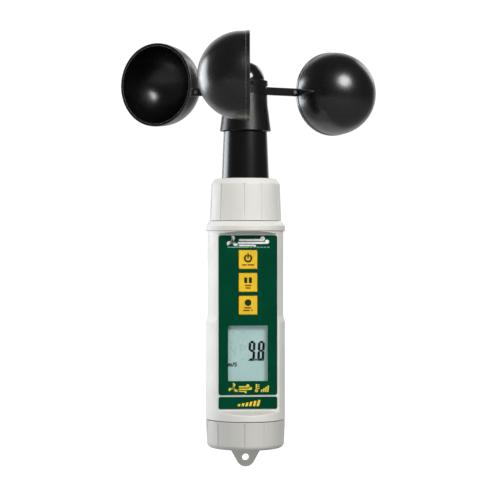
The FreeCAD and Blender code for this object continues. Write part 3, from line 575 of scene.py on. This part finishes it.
SEGMENTS = {
    "a": ((0, 1), (1, 1)), "b": ((1, 1), (1, 0.5)), "c": ((1, 0.5), (1, 0)), "d": ((0, 0), (1, 0)),
    "e": ((0, 0), (0, 0.5)), "f": ((0, 0.5), (0, 1)), "g": ((0, 0.5), (1, 0.5)),
}
OUTSIDE = {"a": (0, 1), "b": (1, 0), "c": (1, 0), "d": (0, -1), "e": (-1, 0), "f": (-1, 0)}
LIT = {"9": "abcdfg", "8": "abcdefg"}
DIGIT_WIDTH = 3.4
DIGIT_HEIGHT = 8.9
DIGIT_BAR = 1.0          # width of a segment
DIGIT_GAP = 0.09         # from the end of a segment to the corner where it meets the next
DIGIT_LEAN = 0.05        # how far a digit leans to the right for each unit of height
DIGIT_LOW = -3.4         # foot of the digits
UNIT_LOW = -5.8          # foot of the unit
GHOST_PROUD = 0.02       # unlit segments, shadow and lit segments lie one above the other
SHADOW_PROUD = 0.03
LIT_PROUD = 0.06


def draw_digit(ink, left, low, segments):
    """Seven-segment digit whose bars meet in mitred corners, with small gaps between them."""
    width, height = DIGIT_WIDTH - DIGIT_BAR - DIGIT_LEAN * DIGIT_HEIGHT, DIGIT_HEIGHT - DIGIT_BAR
    half = DIGIT_BAR / 2
    for segment in segments:
        (ax, az), (bx, bz) = SEGMENTS[segment]
        start = Vector((ax * width, az * height))
        end = Vector((bx * width, bz * height))
        along = (end - start).normalized()
        across = Vector((-along.y, along.x))
        outside = Vector(OUTSIDE.get(segment, across))
        outline = []
        for tip, inward in ((start, along), (end, -along)):
            reach = -half if segment != "g" and tip.y in (0, height) else half
            side = [tip + inward * (reach + DIGIT_GAP) + outside * half, tip + inward * DIGIT_GAP,
                    tip + inward * (half + DIGIT_GAP) - outside * half]
            outline += side if not outline else side[::-1]
        placed = []
        for p in outline:
            placed.append((left + half + p.x + DIGIT_LEAN * (p.y + half), low + half + p.y))
        ink.prism(placed)


def middle(node):
    """The (x, z) middle of a node and the height of its front face."""
    low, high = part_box(node)
    return (low.x + high.x) / 2, (low.z + high.z) / 2, low.y


def label_print():
    """Gusts and a rotor where a name would be, a thin band under them, and symbols under the display."""
    low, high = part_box("label_panel")
    white = print_ink("white_ink", (240, 240, 236))
    mint = print_ink("mint_ink", (120, 170, 150))
    yellow = print_ink("yellow_ink", (232, 214, 70))

    mark = Print(0.2 * MM, high.z - 3.0 * MM, low.y)
    draw_rotor(mark, -7.2, 0.1, 4.6, 0.85)
    draw_wind(mark, -4.0, 6.4, 0.85, 0.62, 0.9)
    draw_wind(mark, -4.4, 8.4, -0.4, 0.5, 0.9)
    draw_wind(mark, -4.0, 2.8, -1.55, -0.3, 0.72)
    mark.finish("label_mark", white, "meter")

    band = Print(0.2 * MM, high.z - 5.35 * MM, low.y)
    band.box(-4.6, 0, 9.6, 0.45)
    for i in range(6):
        band.box(1.2 + i * 1.55, 0, 1.1, 0.45)
    band.finish("label_band", mint, "meter")

    icons = Print(0.3 * MM, low.z + 3.1 * MM, low.y)
    draw_rotor(icons, -6.9, 0.0, 4.0, 0.6)
    draw_wind(icons, -4.2, -0.4, 0.6, 0.42, 0.6)
    draw_wind(icons, -4.2, 0.9, -0.5, 0.36, 0.6)
    draw_wind(icons, -4.2, -1.4, -1.45, -0.28, 0.5)
    draw_thermometer(icons, 3.5, 0.0, 3.7, 0.62)
    for i in range(4):
        icons.box(5.9 + i * 0.95, -1.2 + 0.3 * i, 0.65, 1.1 + 0.6 * i, 0.25)
    icons.finish("label_icons", yellow, "meter")

    x, z, front = middle("model_plate")
    bars = Print(x + 0.4 * MM, z - 0.1 * MM, front)
    for i in range(6):
        height = 1.0 + 0.34 * i
        bars.box(-4.4 + i * 1.75, -1.35 + height / 2, 1.05, height, 0.28 * height)
    bars.finish("plate_bars", print_ink("gold_ink", (240, 205, 60)), "meter")


def key_print():
    """A dark pictogram on each key, and smaller brown marks under it."""
    ink = print_ink("key_ink", (14, 44, 20), 0.5)
    brown = print_ink("key_small_ink", (112, 58, 14), 0.5)

    x, z, front = middle("key_power")
    power = Print(x, z, front)
    power.stroke(arc_points(0, 0.6, 1.5, 125, 415, 30), 0.8)
    power.stroke([(0, 0.9), (0, 2.5)], 0.75)
    power.finish("power_mark", ink, "key_power_body")
    lines = Print(x, z, front)
    lines.stroke([(-2.5, -2.4), (-0.9, -2.4)], 0.62)
    lines.stroke([(0.1, -2.4), (2.5, -2.4)], 0.62)
    lines.finish("power_lines", brown, "key_power_body")

    x, z, front = middle("key_hold")
    hold = Print(x, z, front)
    for side in (-1, 1):
        hold.box(side * 1.05, 1.0, 1.35, 2.5)
    hold.finish("hold_mark", ink, "key_hold_body")
    lines = Print(x, z, front)
    lines.stroke([(-1.2, -1.35), (1.2, -1.35)], 0.6)
    lines.stroke([(-0.9, -2.5), (0.9, -2.5)], 0.6)
    lines.finish("hold_lines", brown, "key_hold_body")

    x, z, front = middle("key_record")
    record = Print(x, z, front)
    record.disc(0, 1.2, 1.5)
    record.finish("record_mark", ink, "key_record_body")
    lines = Print(x, z, front)
    lines.stroke([(-1.4, -1.15), (1.1, -1.15)], 0.6)
    lines.stroke([(-1.9, -2.3), (0.5, -2.3)], 0.6)
    lines.prism([(1.2, -1.95), (1.75, -2.8), (2.3, -1.95)])
    lines.finish("record_lines", brown, "key_record_body")


def display_print():
    """Segments of the display, the shadow they throw on the reflector, and the unlit ones."""
    x, z = middle("display_window")[:2]
    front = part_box("display_glass")[0].y
    digits = (("9", 0.2), ("8", 4.4))

    ghosts = Print(x, z, front, GHOST_PROUD)
    for left in (-8.2, -4.0):
        draw_digit(ghosts, left, DIGIT_LOW, "abcdefg")
    draw_digit(ghosts, digits[0][1], DIGIT_LOW, "e")
    for i in range(5):
        ghosts.box(-6.6 + i * 2.2, 9.4, 1.5, 0.9)
    ghosts.finish("display_unlit", print_ink("display_unlit", (189, 214, 212), 0.3), "meter")

    shadow = Print(x + 0.22 * MM, z - 0.16 * MM, front, SHADOW_PROUD)
    for name, left in digits:
        draw_digit(shadow, left, DIGIT_LOW, LIT[name])
    shadow.finish("display_shadow", print_ink("display_shadow", (134, 158, 156), 0.3), "meter")

    lit = Print(x, z, front, LIT_PROUD)
    for name, left in digits:
        draw_digit(lit, left, DIGIT_LOW, LIT[name])
    lit.box(3.85, DIGIT_LOW + 0.4, 0.7, 0.8)
    lit.stroke([(-8.5, UNIT_LOW), (-8.5, UNIT_LOW + 1.0)], 0.48)
    lit.stroke([(-8.5, UNIT_LOW + 1.0), (-7.3, UNIT_LOW + 1.0), (-7.3, UNIT_LOW)], 0.48)
    lit.stroke([(-7.9, UNIT_LOW + 1.0), (-7.9, UNIT_LOW)], 0.44)
    lit.stroke([(-6.8, UNIT_LOW - 0.1), (-6.2, UNIT_LOW + 1.55)], 0.42)
    lit.stroke([(-5.0, UNIT_LOW + 1.4), (-5.8, UNIT_LOW + 1.4), (-5.8, UNIT_LOW + 0.7),
                (-5.0, UNIT_LOW + 0.7), (-5.0, UNIT_LOW), (-5.8, UNIT_LOW)], 0.46)
    lit.finish("display_digits", print_ink("display_segments", (7, 11, 13), 0.3), "meter")


def cell_print():
    """A plus sign on each of the two front coin cells, above its terminal."""
    low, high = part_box("coin_cells")
    radius = (high.x - low.x) / 2
    signs = Print((low.x + high.x) / 2, 0, low.y, 0.02)
    for centre in (low.z + radius, high.z - radius):
        z = centre / MM + 5.2
        signs.box(0, z, 3.2, 0.55)
        for side in (-1, 1):
            signs.box(0, z + side * 0.94, 0.55, 1.32)
    signs.finish("cell_signs", print_ink("cell_ink", (104, 103, 99)), "battery_end")


# ------------------------------------------------------------------ studio
FLOOR_DROP = 0.012       # clear space under the battery end when it is pulled right out
FLOOR_RADIUS = 30.0
BACKDROP_WHITE = 1.05    # the surroundings behind the object
ROOM_DIM = 0.08          # and round the camera's side
FLOOR_GLOW = 1.0         # the floor as the camera sees it
FLOOR_SHEEN = 0.6        # and the most that it gives the object
LOBE_START = 0.58        # share of a direction that points away from the camera's side, where the
LOBE_FULL = 0.9          # surroundings begin to brighten, and where they are brightest
SUN_SPREAD = math.radians(24)
CAMERA_TURN = math.radians(-5.3)
CAMERA_DISTANCE = 0.877
CAMERA_SIDE = 0.0021
CAMERA_HEIGHT = 0.0942
CAMERA_LENS = 138.6      # millimetres, on a sensor this wide
SENSOR_WIDTH = 36.0


def studio_glow(nodes, links, away, nearest, strength, seen_strength):
    """Light that a surrounding gives off: strongest straight behind the object, and even to look at."""
    lobe = nodes.new("ShaderNodeMapRange")
    lobe.interpolation_type = "SMOOTHSTEP"
    set_range(lobe, LOBE_START, LOBE_FULL, nearest, strength)
    ray = nodes.new("ShaderNodeLightPath")
    choice = nodes.new("ShaderNodeMix")
    choice.inputs[3].default_value = seen_strength
    links.new(away, lobe.inputs["Value"])
    links.new(ray.outputs["Is Camera Ray"], choice.inputs[0])
    links.new(lobe.outputs["Result"], choice.inputs[2])
    return choice.outputs[0]


def floor():
    """A round pale floor, low enough for the battery end to be pulled out above it."""
    travel = next(j["range_m"][1] for j in frame["joints"] if j["name"] == "cap_pull")
    level = cad_low.z - travel - FLOOR_DROP
    mesh = bmesh.new()
    bmesh.ops.create_circle(mesh, cap_ends=True, segments=96, radius=FLOOR_RADIUS,
                            matrix=Matrix.Translation((0, 0, level)))
    data = bpy.data.meshes.new("floor")
    mesh.to_mesh(data)
    mesh.free()
    look = Look("floor", 0.9, Specular_IOR_Level=0.1)
    clouds = look.remap(look.noise(300, 2), 0.3, 0.7)
    look.colour(look.mix(clouds, (0.22, 0.22, 0.22, 1), (0.2, 0.2, 0.2, 1)))
    flat = look.nodes.new("ShaderNodeVectorMath")
    flat.operation = "MULTIPLY"
    flat.inputs[1].default_value = (1, 1, 0)
    unit = look.nodes.new("ShaderNodeVectorMath")
    unit.operation = "NORMALIZE"
    split = look.nodes.new("ShaderNodeSeparateXYZ")
    look.links.new(look.place, flat.inputs[0])
    look.links.new(flat.outputs[0], unit.inputs[0])
    look.links.new(unit.outputs[0], split.inputs[0])
    glow = studio_glow(look.nodes, look.links, split.outputs["Y"], 0.0, FLOOR_SHEEN, FLOOR_GLOW)
    look.shader.inputs["Emission Color"].default_value = (1, 1, 1, 1)
    look.links.new(glow, look.shader.inputs["Emission Strength"])
    data.materials.append(look.material)
    piece = bpy.data.objects.new("floor", data)
    bpy.context.scene.collection.objects.link(piece)


def softbox(name, direction, distance, width, height, power, mirrored=True, tint=(1, 1, 1)):
    """An oval light that faces the middle of the object. Without mirrored, gloss doesn't show it."""
    data = bpy.data.lights.new(name, "AREA")
    data.shape = "ELLIPSE"
    data.size = width
    data.size_y = height
    data.energy = power
    data.color = tint
    target = (cad_low + cad_high) / 2
    away = Vector(direction).normalized()
    light = bpy.data.objects.new(name, data)
    light.location = target + away * distance
    light.rotation_euler = away.to_track_quat("Z", "Y").to_euler()
    light.visible_glossy = mirrored
    bpy.context.scene.collection.objects.link(light)


def overhead(power):
    """Soft, even light from straight above."""
    data = bpy.data.lights.new("overhead", "SUN")
    data.energy = power
    data.angle = SUN_SPREAD
    light = bpy.data.objects.new("overhead", data)
    light.visible_glossy = False
    bpy.context.scene.collection.objects.link(light)


def sky():
    """Room light: white behind the object, dim round the camera's side, and plain white to look at."""
    world = bpy.data.worlds.new("studio")
    bpy.context.scene.world = world
    world.use_nodes = True
    nodes = world.node_tree.nodes
    links = world.node_tree.links
    place = nodes.new("ShaderNodeTexCoord")
    split = nodes.new("ShaderNodeSeparateXYZ")
    links.new(place.outputs["Generated"], split.inputs["Vector"])
    glow = studio_glow(nodes, links, split.outputs["Y"], ROOM_DIM, BACKDROP_WHITE, BACKDROP_WHITE)
    links.new(glow, nodes["Background"].inputs["Strength"])
    nodes["Background"].inputs["Color"].default_value = (1, 1, 1, 1)


def lights():
    """Area lights: name, direction, distance, width and height in metres, and power in watts."""
    softbox("key_light", (0.39, -0.83, 0.62), 1.1, 0.6, 0.55, 9.2)
    softbox("left_light", (-0.84, 0.54, 0.0), 0.9, 0.58, 1.0, 9.7, tint=(0.91, 0.955, 1.0))
    softbox("right_light", (0.55, 0.65, 0.45), 1.1, 0.26, 0.5, 0.7)
    softbox("left_fill", (-0.85, -0.45, 0.1), 1.2, 0.8, 0.5, 0.5, mirrored=False)
    softbox("right_fill", (0.95, -0.15, 0.1), 1.2, 1.0, 1.0, 1.15, mirrored=False)
    softbox("front_fill", (-0.5, -0.86, -0.04), 1.0, 0.8, 0.12, 2.9, mirrored=False)
    overhead(0.9)


def camera():
    data = bpy.data.cameras.new("camera")
    data.lens = CAMERA_LENS
    data.sensor_width = SENSOR_WIDTH
    data.clip_start = 0.02
    data.clip_end = 50
    piece = bpy.data.objects.new("camera", data)
    place = Vector((CAMERA_SIDE, -CAMERA_DISTANCE, CAMERA_HEIGHT))
    piece.location = Matrix.Rotation(CAMERA_TURN, 3, "Z") @ place
    piece.rotation_euler = (math.radians(90), 0, CAMERA_TURN)
    bpy.context.scene.collection.objects.link(piece)
    bpy.context.scene.camera = piece


bpy.context.scene.view_settings.view_transform = "Standard"
dress_frame()
label_print()
key_print()
display_print()
cell_print()
floor()
sky()
lights()
camera()
